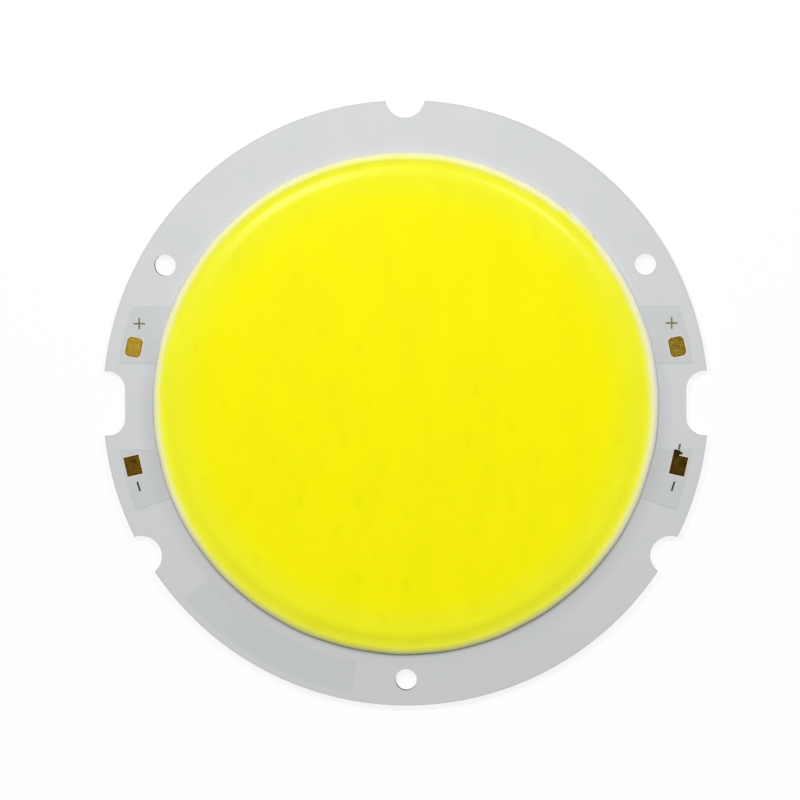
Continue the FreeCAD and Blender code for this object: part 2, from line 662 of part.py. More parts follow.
# Every object has to be sound before anything is written
nodes = [base_plate, dielectric_layer, copper_plus_rail, copper_minus_rail]
nodes += link_nodes + joint_nodes + chip_nodes
nodes += [solder_mask] + pad_nodes + mark_nodes + [dam_ring, phosphor_gel]
failed = [item.Label for item in doc.Objects if {"Invalid", "Error"} & set(item.State)]
if failed:
    raise RuntimeError(f"failed: {failed}")
for node in nodes:
    if node.Shape.isNull() or not node.Shape.isValid():
        raise RuntimeError(f"{node.Label} has no sound shape")
    node.Shape.exportStep(f"parts/{node.Label}.step")
    print(node.Label, len(node.Shape.Solids), round(node.Shape.Volume, 4))
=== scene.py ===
import json
import math

import bpy
from mathutils import Matrix, Vector


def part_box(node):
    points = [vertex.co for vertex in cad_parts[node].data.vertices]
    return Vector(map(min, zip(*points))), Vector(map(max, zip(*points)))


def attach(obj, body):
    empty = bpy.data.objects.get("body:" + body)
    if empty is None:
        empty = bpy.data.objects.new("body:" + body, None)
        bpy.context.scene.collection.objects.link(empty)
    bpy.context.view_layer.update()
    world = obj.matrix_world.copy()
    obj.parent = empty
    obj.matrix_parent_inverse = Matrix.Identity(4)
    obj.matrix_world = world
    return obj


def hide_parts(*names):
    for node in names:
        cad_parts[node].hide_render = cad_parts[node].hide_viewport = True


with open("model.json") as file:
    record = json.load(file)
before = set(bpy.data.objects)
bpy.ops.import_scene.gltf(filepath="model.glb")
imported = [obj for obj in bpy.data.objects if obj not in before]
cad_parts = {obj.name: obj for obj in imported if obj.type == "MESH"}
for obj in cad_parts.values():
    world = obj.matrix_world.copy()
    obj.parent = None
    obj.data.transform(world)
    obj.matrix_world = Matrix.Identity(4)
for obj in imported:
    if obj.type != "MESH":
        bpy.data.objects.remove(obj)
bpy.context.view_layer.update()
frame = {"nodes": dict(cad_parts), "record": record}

# The camera looks down on the module from 80 cm, standing a little to its upper right, so that
# the far walls of the left and bottom screw holes show. The board's circle fills the same part of
# the 800 pixel square as in the photograph.
IMAGE_SIDE_PX = 800
BOARD_RADIUS_PX = 303.2
BOARD_CENTRE_PX = (405.75, 402.9)
CAMERA_FOOT = (0.028, 0.042)
CAMERA_HEIGHT = 0.80
CAMERA_ROLL = math.radians(-0.15)
SENSOR_WIDTH = 36.0

mask_low, mask_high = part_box("solder_mask")
board_radius = -mask_low.y
metres_per_px = board_radius / BOARD_RADIUS_PX
# A tilted view draws the near half a little larger, which moves the drawn circle by this share
near_half_gain = board_radius ** 2 / CAMERA_HEIGHT ** 2
aim_x = (IMAGE_SIDE_PX / 2 - BOARD_CENTRE_PX[0]) * metres_per_px + CAMERA_FOOT[0] * near_half_gain
aim_y = (BOARD_CENTRE_PX[1] - IMAGE_SIDE_PX / 2) * metres_per_px + CAMERA_FOOT[1] * near_half_gain
camera_data = bpy.data.cameras.new("photo_camera")
camera = bpy.data.objects.new("photo_camera", camera_data)
bpy.context.scene.collection.objects.link(camera)
camera.location = Vector((CAMERA_FOOT[0], CAMERA_FOOT[1], CAMERA_HEIGHT))
sight = Vector((aim_x, aim_y, mask_high.z)) - camera.location
backward = -sight.normalized()
sideways = Vector((0, 1, 0)).cross(backward).normalized()
level = Matrix((sideways, backward.cross(sideways), backward)).transposed()
camera.rotation_euler = (level @ Matrix.Rotation(CAMERA_ROLL, 3, "Z")).to_euler()
camera_data.sensor_width = SENSOR_WIDTH
camera_data.lens = SENSOR_WIDTH * sight.length / (IMAGE_SIDE_PX * metres_per_px)
camera_data.clip_start = 0.01
camera_data.clip_end = 10.0
bpy.context.scene.camera = camera
bpy.context.scene.view_settings.view_transform = "Standard"

# Studio light: two small softboxes on the far side of the module, which make the bright arc on
# the gel's shoulder and the shadow along the near side of the dam. The room is dim and even, and
# plain white to the camera and in reflections.
AMBIENT = 0.17
WHITE = (1, 1, 1, 1)


def softbox(name, place, width, depth, power):
    """A rectangular lamp that faces the middle of the board."""
    data = bpy.data.lights.new(name, "AREA")
    data.shape = "RECTANGLE"
    data.size = width
    data.size_y = depth
    data.energy = power
    lamp = bpy.data.objects.new(name, data)
    lamp.location = place
    lamp.rotation_euler = (-Vector(place)).to_track_quat("-Z", "Y").to_euler()
    bpy.context.scene.collection.objects.link(lamp)


def link_nodes(tree, *pairs):
    """Joins node outputs to inputs, each pair an output socket and an input socket."""
    for output, target in pairs:
        tree.links.new(output, target)


def light_path_share(tree):
    """One where a camera, glossy or transmission ray arrives, otherwise nought."""
    path = tree.nodes.new("ShaderNodeLightPath")
    first = tree.nodes.new("ShaderNodeMath")
    first.operation = "MAXIMUM"
    second = tree.nodes.new("ShaderNodeMath")
    second.operation = "MAXIMUM"
    link_nodes(tree, (path.outputs["Is Camera Ray"], first.inputs[0]),
               (path.outputs["Is Glossy Ray"], first.inputs[1]),
               (first.outputs[0], second.inputs[0]),
               (path.outputs["Is Transmission Ray"], second.inputs[1]))
    return second.outputs[0]


softbox("softbox_left", (-0.087, 0.124, 0.36), 0.048, 0.045, 0.79)
softbox("softbox_right", (0.101, 0.145, 0.36), 0.060, 0.045, 0.63)
world = bpy.data.worlds.new("studio")
bpy.context.scene.world = world
world.use_nodes = True
world_tree = world.node_tree
world_tree.nodes.clear()
dim = world_tree.nodes.new("ShaderNodeBackground")
dim.inputs["Color"].default_value = WHITE
dim.inputs["Strength"].default_value = AMBIENT
bright = world_tree.nodes.new("ShaderNodeBackground")
bright.inputs["Color"].default_value = WHITE
world_mix = world_tree.nodes.new("ShaderNodeMixShader")
world_out = world_tree.nodes.new("ShaderNodeOutputWorld")
link_nodes(world_tree, (light_path_share(world_tree), world_mix.inputs[0]),
           (dim.outputs[0], world_mix.inputs[1]), (bright.outputs[0], world_mix.inputs[2]),
           (world_mix.outputs[0], world_out.inputs[0]))

# The table: a plain white sweep that stays nearly white under the camera and keeps a soft shadow.
# It lies a hair below the board's back, as under any real board that isn't perfectly flat. Seen
# from below it is clear, so that the back of the board can be looked at.
MM = 0.001
TABLE_GAP = 0.05 * MM
TABLE_WIDTH = 4.0
TABLE_WHITE = (0.94, 0.94, 0.94, 1)
TABLE_GLOW = 0.88
bpy.ops.object.select_all(action="DESELECT")
bpy.ops.mesh.primitive_plane_add(size=TABLE_WIDTH, location=(0, 0, -TABLE_GAP))
table = bpy.context.object
table.name = "white_table"
table_finish = bpy.data.materials.new("white_table")
table_finish.use_nodes = True
table_tree = table_finish.node_tree
table_tree.nodes.clear()
table_paint = table_tree.nodes.new("ShaderNodeBsdfDiffuse")
table_paint.inputs["Color"].default_value = TABLE_WHITE
table_glow = table_tree.nodes.new("ShaderNodeEmission")
table_share = table_tree.nodes.new("ShaderNodeMath")
table_share.operation = "MULTIPLY"
table_share.inputs[1].default_value = TABLE_GLOW
table_mix = table_tree.nodes.new("ShaderNodeMixShader")
table_side = table_tree.nodes.new("ShaderNodeNewGeometry")
table_clear = table_tree.nodes.new("ShaderNodeBsdfTransparent")
table_sides = table_tree.nodes.new("ShaderNodeMixShader")
table_out = table_tree.nodes.new("ShaderNodeOutputMaterial")
link_nodes(table_tree, (light_path_share(table_tree), table_share.inputs[0]),
           (table_share.outputs[0], table_mix.inputs[0]),
           (table_paint.outputs[0], table_mix.inputs[1]),
           (table_glow.outputs[0], table_mix.inputs[2]),
           (table_side.outputs["Backfacing"], table_sides.inputs[0]),
           (table_mix.outputs[0], table_sides.inputs[1]),
           (table_clear.outputs[0], table_sides.inputs[2]),
           (table_sides.outputs[0], table_out.inputs[0]))
table.data.materials.append(table_finish)

# Base plate: 1.5 mm aluminium, punched from rolled sheet. The back keeps the sheet's fine rolling
# lines. Up the walls the punch leaves upright lines, grey and rough over the torn lower third, and
# the walls of the three screw holes carry painted shade, darker inside as deep holes look.
ROLLED_TONES = ((0.56, 0.565, 0.575), (0.70, 0.70, 0.71))
HANDLED_GREY = (0.50, 0.505, 0.52)
WALL_TONES = ((0.30, 0.30, 0.295), (0.44, 0.44, 0.438))
TORN_WALL = (0.21, 0.21, 0.205)
HOLE_SHADE = (0.06, 0.06, 0.058)
ROLLING_STRETCH = (0.05, 9.0, 1.0)
ROLLING_DEPTH = 0.000006
WALL_STRETCH = (7.0, 7.0, 0.25)
PLATE_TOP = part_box("base_plate")[1].z / MM
SCREW_CIRCLE = 34.75
SCREW_REACH = 1.45
SCREW_ANGLE = 30.0
SCREW_STEP = 120.0


def new_finish(name):
    """A material with one principled shader, its node tree and that shader."""
    finish = bpy.data.materials.new(name)
    finish.use_nodes = True
    tree = finish.node_tree
    tree.nodes.clear()
    shader = tree.nodes.new("ShaderNodeBsdfPrincipled")
    out = tree.nodes.new("ShaderNodeOutputMaterial")
    tree.links.new(shader.outputs[0], out.inputs[0])
    return finish, tree, shader


def place_vector(tree, stretch=(1, 1, 1), turn=0.0):
    """The point on the object in millimetres, turned about Z and then stretched."""
    where = tree.nodes.new("ShaderNodeTexCoord")
    scale = tree.nodes.new("ShaderNodeMapping")
    scale.vector_type = "POINT"
    scale.inputs["Rotation"].default_value = (0, 0, turn)
    scale.inputs["Scale"].default_value = (1 / MM, 1 / MM, 1 / MM)
    tree.links.new(where.outputs["Object"], scale.inputs["Vector"])
    if tuple(stretch) == (1, 1, 1):
        return scale.outputs[0]
    pull = tree.nodes.new("ShaderNodeMapping")
    pull.inputs["Scale"].default_value = stretch
    tree.links.new(scale.outputs[0], pull.inputs["Vector"])
    return pull.outputs[0]


def place_parts(tree):
    """The point on the object in millimetres, as three sockets named X, Y and Z."""
    node = tree.nodes.new("ShaderNodeSeparateXYZ")
    tree.links.new(place_vector(tree), node.inputs[0])
    return node.outputs


def noise(tree, vector, waves, detail=3.0, roughness=0.5):
    """Soft noise from nought to one, with so many waves to the millimetre."""
    node = tree.nodes.new("ShaderNodeTexNoise")
    node.inputs["Scale"].default_value = waves
    node.inputs["Detail"].default_value = detail
    node.inputs["Roughness"].default_value = roughness
    tree.links.new(vector, node.inputs["Vector"])
    return node.outputs["Fac"]


def span(tree, value, low, high, to_low=0.0, to_high=1.0, smooth=True):
    """Maps a value from one range to another, held at both ends."""
    node = tree.nodes.new("ShaderNodeMapRange")
    node.interpolation_type = "SMOOTHSTEP" if smooth else "LINEAR"
    node.inputs["From Min"].default_value = low
    node.inputs["From Max"].default_value = high
    node.inputs["To Min"].default_value = to_low
    node.inputs["To Max"].default_value = to_high
    tree.links.new(value, node.inputs["Value"])
    return node.outputs["Result"]


def blend_colour(tree, share, first, second, kind="MIX"):
    """Mixes two colours, each given as numbers or as a socket."""
    node = tree.nodes.new("ShaderNodeMix")
    node.data_type = "RGBA"
    node.blend_type = kind
    if isinstance(share, (int, float)):
        node.inputs[0].default_value = share
    else:
        tree.links.new(share, node.inputs[0])
    for colour_input, colour in ((node.inputs[6], first), (node.inputs[7], second)):
        if isinstance(colour, tuple):
            colour_input.default_value = colour + (1,)
        else:
            tree.links.new(colour, colour_input)
    return node.outputs[2]


def calculate(tree, operation, first, second=0.0):
    """One math node on sockets or numbers."""
    node = tree.nodes.new("ShaderNodeMath")
    node.operation = operation
    for slot_number, term in enumerate((first, second)):
        if isinstance(term, (int, float)):
            node.inputs[slot_number].default_value = term
        else:
            tree.links.new(term, node.inputs[slot_number])
    return node.outputs[0]


def times(tree, first, second):
    """The product of two sockets or numbers."""
    return calculate(tree, "MULTIPLY", first, second)


def radius_and_angle(tree, parts):
    """Distance from the middle in millimetres, and the angle from +X in degrees, 0 to 360."""
    squares = calculate(tree, "ADD", times(tree, parts["X"], parts["X"]),
                        times(tree, parts["Y"], parts["Y"]))
    angle = calculate(tree, "DEGREES", calculate(tree, "ARCTAN2", parts["Y"], parts["X"]))
    return calculate(tree, "SQRT", squares), calculate(tree, "FLOORED_MODULO", angle, 360.0)


def band(tree, value, low, high, soft):
    """One between low and high, fading over a soft edge."""
    rise = span(tree, value, low - soft, low + soft)
    fall = span(tree, value, high - soft, high + soft, 1.0, 0.0)
    return times(tree, rise, fall)


def add_bump(tree, shader, height, depth):
    """Raises the surface by a height from nought to one, times a depth in metres."""
    node = tree.nodes.new("ShaderNodeBump")
    node.inputs["Strength"].default_value = 1.0
    node.inputs["Distance"].default_value = depth
    tree.links.new(height, node.inputs["Height"])
    tree.links.new(node.outputs["Normal"], shader.inputs["Normal"])


def finish_node(name, finish):
    """Gives a node of the model its finish."""
    item = frame["nodes"][name]
    item.data.materials.clear()
    item.data.materials.append(finish)


plate_finish, plate_tree, plate_metal = new_finish("rolled_aluminium")
plate_parts = place_parts(plate_tree)
plate_radius, plate_angle = radius_and_angle(plate_tree, plate_parts)
rolling = noise(plate_tree, place_vector(plate_tree, ROLLING_STRETCH), 1.0, 4.0, 0.6)
handling = noise(plate_tree, place_vector(plate_tree), 0.09, 3.0)
plate_colour = blend_colour(plate_tree, span(plate_tree, rolling, 0.3, 0.7), *ROLLED_TONES)
plate_colour = blend_colour(plate_tree, span(plate_tree, handling, 0.35, 0.75, 0.0, 0.35),
                            plate_colour, HANDLED_GREY)
wall_lines = noise(plate_tree, place_vector(plate_tree, WALL_STRETCH), 1.0, 3.0, 0.6)
wall_shade = blend_colour(plate_tree, span(plate_tree, wall_lines, 0.3, 0.7), *WALL_TONES)
torn = span(plate_tree, plate_parts["Z"], PLATE_TOP * 0.30, PLATE_TOP * 0.38, 1.0, 0.0)
wall_shade = blend_colour(plate_tree, times(plate_tree, torn, 0.7), wall_shade, TORN_WALL)
# Degrees to the nearest screw hole, whose walls lie within three degrees of it
from_hole = calculate(plate_tree, "SUBTRACT", calculate(
    plate_tree, "FLOORED_MODULO", calculate(plate_tree, "ADD", plate_angle, SCREW_STEP / 2 - SCREW_ANGLE),
    SCREW_STEP), SCREW_STEP / 2)
in_hole = times(plate_tree, band(plate_tree, plate_radius, SCREW_CIRCLE - SCREW_REACH,
                                 SCREW_CIRCLE + SCREW_REACH, 0.02),
                band(plate_tree, from_hole, -3.0, 3.0, 0.1))
# Painted shade inside the screw holes, darker than the rest of the punched wall
wall_shade = blend_colour(plate_tree, times(plate_tree, in_hole, 0.85), wall_shade, HOLE_SHADE)
on_wall = span(plate_tree, plate_parts["Z"], 0.004, 0.03)
plate_tree.links.new(blend_colour(plate_tree, on_wall, plate_colour, wall_shade),
                     plate_metal.inputs["Base Color"])
plate_metal.inputs["Metallic"].default_value = 1.0
plate_roughness = calculate(plate_tree, "ADD", span(plate_tree, rolling, 0.2, 0.8, 0.30, 0.48),
                            times(plate_tree, on_wall, 0.15))
plate_tree.links.new(plate_roughness, plate_metal.inputs["Roughness"])
add_bump(plate_tree, plate_metal, rolling, ROLLING_DEPTH)
finish_node("base_plate", plate_finish)

# Dielectric: a thin layer of filled epoxy that bonds the copper to the plate. Only its cut edge
# shows, as a pale line in the holes and notches.
EPOXY_TONES = ((0.50, 0.48, 0.42), (0.68, 0.66, 0.60))
resin_finish, resin_tree, resin = new_finish("filled_epoxy")
grains = noise(resin_tree, place_vector(resin_tree), 6.0, 2.0)
resin_tree.links.new(blend_colour(resin_tree, grains, *EPOXY_TONES), resin.inputs["Base Color"])
resin.inputs["Roughness"].default_value = 0.6
finish_node("dielectric_layer", resin_finish)

# Copper: rails, tabs and links, etched from one foil of 0.07 mm on the epoxy. The mask, the dam
# and the gel cover all of it.
FOIL_TONES = ((0.62, 0.27, 0.16), (0.84, 0.44, 0.29))
STRING_COUNT = sum(name.startswith("led_chips_string_") for name in frame["nodes"])
copper_finish, copper_tree, copper = new_finish("etched_copper")
foil = noise(copper_tree, place_vector(copper_tree), 2.5, 4.0)
copper_tree.links.new(blend_colour(copper_tree, foil, *FOIL_TONES), copper.inputs["Base Color"])
copper.inputs["Metallic"].default_value = 1.0
copper_tree.links.new(span(copper_tree, foil, 0.2, 0.8, 0.28, 0.45), copper.inputs["Roughness"])
finish_node("copper_plus_rail", copper_finish)
finish_node("copper_minus_rail", copper_finish)
for number in range(1, STRING_COUNT + 1):
    finish_node(f"copper_links_string_{number}", copper_finish)

# Chips and their joints: clear sapphire dies, each soldered face down on two bright joints. All
# of them lie under the gel.
DIE_TONES = ((0.55, 0.60, 0.68), (0.75, 0.80, 0.86))
SOLDER_TONES = ((0.62, 0.62, 0.63), (0.80, 0.80, 0.80))
die_finish, die_tree, die = new_finish("sapphire_die")
facets = noise(die_tree, place_vector(die_tree), 3.0, 2.0)
die_tree.links.new(blend_colour(die_tree, facets, *DIE_TONES), die.inputs["Base Color"])
die.inputs["Roughness"].default_value = 0.12
solder_finish, solder_tree, solder = new_finish("bright_solder")
ripples = noise(solder_tree, place_vector(solder_tree), 4.0, 2.0)
solder_tree.links.new(blend_colour(solder_tree, ripples, *SOLDER_TONES), solder.inputs["Base Color"])
solder.inputs["Metallic"].default_value = 1.0
solder.inputs["Roughness"].default_value = 0.25
for number in range(1, STRING_COUNT + 1):
    finish_node(f"led_chips_string_{number}", die_finish)
    finish_node(f"solder_joints_string_{number}", solder_finish)

# Solder mask: white ink printed over the whole face and baked hard. It is satin, faintly mottled,
# and a shade greyer where copper lies under it, as at the four tabs, and on a plain panel at the
# lower left.
MASK_WHITE = (0.556, 0.566, 0.577)
MASK_OVER_COPPER = (0.497, 0.514, 0.512)
PANEL_GREY = (0.505, 0.520, 0.518)
PANEL_RADII = (33.0, 37.1)
PANEL_ANGLES = (221.5, 259.4)
RAIL_AND_SHADE_TINT = (0.96, 0.97, 0.97)
RAIL_AND_SHADE_RADII = (30.0, 32.7)
DAM_SHADE_TINT = (0.83, 0.83, 0.82)
CONTACT_SHADOW_TINT = (0.62, 0.62, 0.57)
RIM_TINT = (0.96, 0.96, 0.96)
MOTTLE_TINT = (0.955, 0.965, 0.975)
PATCH_TINT = (0.965, 0.975, 0.965)
INK_GRAIN_DEPTH = 0.0000035


def tinted(tree, share, colour, tint):
    """The colour, multiplied by a tint where the share is one."""
    return blend_colour(tree, share, colour, blend_colour(tree, 1.0, colour, tint, "MULTIPLY"))


mask_finish, mask_tree, mask = new_finish("white_solder_mask")
mask_where = place_vector(mask_tree)
mask_parts = place_parts(mask_tree)
mask_radius, mask_angle = radius_and_angle(mask_tree, mask_parts)
mask_across = calculate(mask_tree, "ABSOLUTE", mask_parts["X"])
mottle = noise(mask_tree, mask_where, 0.22, 4.0, 0.55)
patches = span(mask_tree, noise(mask_tree, mask_where, 0.07, 2.0), 0.3, 0.7)
raised_from = (mask_high.z / MM) - 0.045
raised = span(mask_tree, mask_parts["Z"], raised_from, raised_from + 0.02)
mask_shade = blend_colour(mask_tree, times(mask_tree, raised, 0.85), MASK_WHITE, MASK_OVER_COPPER)
panel = times(mask_tree, band(mask_tree, mask_radius, *PANEL_RADII, 0.12),
              band(mask_tree, mask_angle, *PANEL_ANGLES, 0.25))
mask_shade = blend_colour(mask_tree, times(mask_tree, panel, 0.7), mask_shade, PANEL_GREY)
# Between the upper and lower tabs the ink is a touch darker beside the dam: partly the rails under it,
# partly painted shade
beside_dam = times(mask_tree, band(mask_tree, mask_radius, *RAIL_AND_SHADE_RADII, 0.10), span(
    mask_tree, calculate(mask_tree, "ABSOLUTE", mask_parts["Y"]), 5.2, 5.6, 1.0, 0.0))
mask_shade = tinted(mask_tree, beside_dam, mask_shade, RAIL_AND_SHADE_TINT)
# Painted shade of the dam on the ink along it, deepest at the lower left and lower right
dam_shade = span(mask_tree, mask_radius, 31.3, 33.9, 1.0, 0.0, False)
lower_side = span(mask_tree, mask_parts["Y"], -3.0, 14.0, 1.0, 0.0)
flank = span(mask_tree, mask_across, 8.0, 26.0, 0.35, 1.0)
dam_shade = times(mask_tree, dam_shade, times(mask_tree, lower_side, flank))
mask_shade = tinted(mask_tree, dam_shade, mask_shade, DAM_SHADE_TINT)
# A painted contact shadow darkens the ink along the foot of the dam's near side
contact_shadow = times(mask_tree, span(mask_tree, mask_radius, 31.5, 32.15, 1.0, 0.0),
              span(mask_tree, mask_parts["Y"], -24.0, -10.0, 1.0, 0.0))
mask_shade = tinted(mask_tree, contact_shadow, mask_shade, CONTACT_SHADOW_TINT)
rim_line = span(mask_tree, mask_radius, 37.65, 37.85)
mask_shade = tinted(mask_tree, rim_line, mask_shade, RIM_TINT)
mask_shade = tinted(mask_tree, span(mask_tree, mottle, 0.35, 0.75, 0.0, 0.5), mask_shade, MOTTLE_TINT)
mask_shade = tinted(mask_tree, times(mask_tree, patches, 0.35), mask_shade, PATCH_TINT)
mask_tree.links.new(span(mask_tree, mottle, 0.2, 0.8, 0.40, 0.50), mask.inputs["Roughness"])
mask.inputs["Specular IOR Level"].default_value = 0.50
add_bump(mask_tree, mask, noise(mask_tree, mask_where, 5.0, 3.0), INK_GRAIN_DEPTH)

# Windows in the mask: each leaves a hairline of bare cream epoxy round its pad. A thin dark
# scratch runs up from the stub of the right-hand negative pad.
PAD_SIZE = (1.95, 2.45)
PAD_TURN = {"plus": 11.8, "minus": -12.8}
CREAM = (0.70, 0.56, 0.40)
CREAM_WIDTH = 0.22
SCRATCH_PLACE = (34.34, -5.42)
SCRATCH_SIZE = (0.20, 0.68)
SCRATCH_LEAN = math.radians(-14.0)
SCRATCH_DARK = (0.03, 0.03, 0.025)


def in_turned_frame(tree, across, along, centre, turn):
    """The two places in a frame that stands at a centre and is turned about Z."""
    x = calculate(tree, "SUBTRACT", across, centre[0])
    y = calculate(tree, "SUBTRACT", along, centre[1])
    first = calculate(tree, "ADD", times(tree, x, math.cos(turn)), times(tree, y, math.sin(turn)))
    second = calculate(tree, "SUBTRACT", times(tree, y, math.cos(turn)), times(tree, x, math.sin(turn)))
    return first, second


def beyond_block(tree, places, size):
    """How far a place lies outside a rectangle, below nought inside it."""
    return calculate(tree, "MAXIMUM", *(
        calculate(tree, "SUBTRACT", calculate(tree, "ABSOLUTE", place), side / 2)
        for place, side in zip(places, size)))


def pad_centre(node):
    """The middle of a pad in millimetres, which is where its wire is soldered on."""
    face = next(mount for mount in frame["record"]["mounts"] if mount["name"] == node + "_face")
    return face["pos_m"][0] / MM, face["pos_m"][1] / MM


for sign, turn in PAD_TURN.items():
    places = in_turned_frame(mask_tree, mask_across, mask_parts["Y"], pad_centre(sign + "_pad_right"),
                             math.radians(turn))
    halo = span(mask_tree, beyond_block(mask_tree, places, PAD_SIZE), 0.0, CREAM_WIDTH, 1.0, 0.0)
    mask_shade = blend_colour(mask_tree, times(mask_tree, halo, 0.8), mask_shade, CREAM)
places = in_turned_frame(mask_tree, mask_parts["X"], mask_parts["Y"], SCRATCH_PLACE, SCRATCH_LEAN)
scratch = span(mask_tree, beyond_block(mask_tree, places, SCRATCH_SIZE), 0.0, 0.05, 1.0, 0.0)
mask_tree.links.new(blend_colour(mask_tree, scratch, mask_shade, SCRATCH_DARK),
                    mask.inputs["Base Color"])
finish_node("solder_mask", mask_finish)

# Pads: copper plated with a thin layer of gold, scratched by handling. The upper pair are
# brighter, the lower pair are tarnished brown.
STREAK_STRETCH = (1.5, 11.0, 1.0)
STREAK_DEPTH = 0.000015
SCRATCH_STRETCH = (2.2, 11.0, 1.0)
SCRATCH_TURN = math.radians(22.0)
STAIN_TINT = (0.55, 0.46, 0.36)
BARE_GOLD = (0.80, 0.68, 0.36)
WINDOW_EDGE_TINT = (0.34, 0.36, 0.40)
# Node, degrees it is turned, dark and light tone, lay of the streaks, stained and bare shares
PAD_LOOKS = (
    ("plus_pad_left", -PAD_TURN["plus"], (0.19, 0.115, 0.007), (0.45, 0.305, 0.034), 0.0, 0.5, 0.8),
    ("plus_pad_right", PAD_TURN["plus"], (0.095, 0.058, 0.004), (0.31, 0.215, 0.022), 0.0, 0.6, 0.6),
    ("minus_pad_left", -PAD_TURN["minus"], (0.024, 0.011, 0.001), (0.188, 0.100, 0.004), -8.0, 0.6, 0.05),
    ("minus_pad_right", PAD_TURN["minus"], (0.014, 0.007, 0.001), (0.090, 0.052, 0.003), 90.0, 0.7, 0.05),
)


def pad_metal(node, turn, dark, light, lay, stained_share, bare_share):
    """Brushed plating with scratches across the pad, from a dark to a light tone, dull at the edge."""
    finish, tree, metal = new_finish("gold_" + node)
    lay = math.radians(lay - turn)
    streaks = noise(tree, place_vector(tree, STREAK_STRETCH, lay), 1.0, 5.0, 0.7)
    scratches = noise(tree, place_vector(tree, SCRATCH_STRETCH, lay + SCRATCH_TURN), 1.0, 2.0, 0.5)
    blotches = noise(tree, place_vector(tree), 1.3, 3.0)
    tone = blend_colour(tree, span(tree, streaks, 0.30, 0.72), dark, light)
    tone = tinted(tree, span(tree, blotches, 0.45, 0.72, 0.0, stained_share), tone, STAIN_TINT)
    tone = blend_colour(tree, span(tree, scratches, 0.66, 0.74, 0.0, bare_share), tone, BARE_GOLD)
    # The pad is darker along the edge of the window
    parts = place_parts(tree)
    places = in_turned_frame(tree, parts["X"], parts["Y"], pad_centre(node), math.radians(turn))
    edge = span(tree, beyond_block(tree, places, PAD_SIZE), -0.20, -0.02, 0.0, 0.75)
    tree.links.new(tinted(tree, edge, tone, WINDOW_EDGE_TINT), metal.inputs["Base Color"])
    metal.inputs["Metallic"].default_value = 0.25
    metal.inputs["Specular IOR Level"].default_value = 0.03
    tree.links.new(span(tree, streaks, 0.2, 0.8, 0.45, 0.65), metal.inputs["Roughness"])
    add_bump(tree, metal, streaks, STREAK_DEPTH)
    return finish


for look in PAD_LOOKS:
    finish_node(look[0], pad_metal(*look))

# Polarity marks: ink printed on the mask beside each pad, thin and a little uneven. The plus
# signs are olive and the minus signs black.
OLIVE_TONES = ((0.13, 0.115, 0.036), (0.25, 0.22, 0.085))
BLACK_TONES = ((0.008, 0.008, 0.007), (0.022, 0.021, 0.018))


def ink(name, thick, thin):
    """Matt ink that covers unevenly, from the colour where it is thick to where it is thin."""
    finish, tree, pigment = new_finish(name)
    density = noise(tree, place_vector(tree), 3.5, 3.0)
    tree.links.new(blend_colour(tree, span(tree, density, 0.3, 0.7), thick, thin),
                   pigment.inputs["Base Color"])
    pigment.inputs["Roughness"].default_value = 0.55
    pigment.inputs["Specular IOR Level"].default_value = 0.2
    return finish


plus_ink = ink("olive_ink", *OLIVE_TONES)
minus_ink = ink("black_ink", *BLACK_TONES)
for hand in ("left", "right"):
    finish_node(f"plus_mark_{hand}", plus_ink)
    finish_node(f"minus_mark_{hand}", minus_ink)

# Dam: a bead of thick white silicone squeezed out of a nozzle round the light-emitting area. It
# is laid slightly oval and wavers a little, and its finish runs on beside its start at the upper
# right. The phosphor creeps up its inner side and stains it yellow.
dam_low, dam_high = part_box("dam_ring")
DAM_BAND = 1.5 * MM
BEAD_MIDDLE = -dam_low.y - DAM_BAND / 2
BEAD_TOP = dam_high.z
BEAD_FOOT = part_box("dielectric_layer")[1].z + 0.0496 * MM
BEAD_STEPS = 720
BEAD_ROUND = 28
BEAD_SPARE = 0.03 * MM
BEAD_OUTSET = 0.03 * MM
BEAD_OVAL = 0.09 * MM
BEAD_WAVER = 0.10 * MM
BEAD_RIPPLE = 0.05 * MM
BEAD_SAG = 0.02 * MM
RADIAL_WAVES = ((2, 0.4), (5, 2.1), (9, 1.3), (17, 4.0), (31, 0.7))
HEIGHT_WAVES = ((3, 1.9), (7, 0.2), (13, 3.3), (29, 5.1))
LAP_ANGLE = math.radians(45.5)
LAP_HALF_SWEEP = math.radians(5.2)
LAP_OUTSET = 0.30 * MM
LAP_HALF_WIDTH = DAM_BAND * 0.47
LAP_HALF_HEIGHT = DAM_BAND * 0.475
LAP_DEPTH = DAM_BAND * 0.58
LAP_BLUNTNESS = 1.4
VOXEL = 0.1 * MM
CUT_THRESHOLD = 0.0001 * MM
CREASE_ANGLE = math.radians(50)


def wander(angle, size, waves):
    """A smooth unevenness round the bead: sums a few waves, each with its own count and phase."""
    return size * sum(math.sin(count * angle + phase) / len(waves) for count, phase in waves)


def bead_drift(angle):
    """How far the bead lies outside a true circle."""
    return BEAD_OUTSET + BEAD_OVAL * math.cos(2 * angle) + wander(angle, BEAD_WAVER, RADIAL_WAVES)


def bead_lift(angle):
    """How far the bead stands above its even height."""
    return wander(angle, BEAD_RIPPLE, HEIGHT_WAVES) - BEAD_SAG


bpy.ops.object.select_all(action="DESELECT")
bpy.ops.mesh.primitive_torus_add(
    major_radius=BEAD_MIDDLE, minor_radius=DAM_BAND / 2 + BEAD_SPARE, major_segments=BEAD_STEPS,
    minor_segments=BEAD_ROUND, location=(0, 0, BEAD_TOP - DAM_BAND / 2))
bpy.ops.object.transform_apply(location=True)
dam = bpy.context.object
dam.name = "silicone_dam"

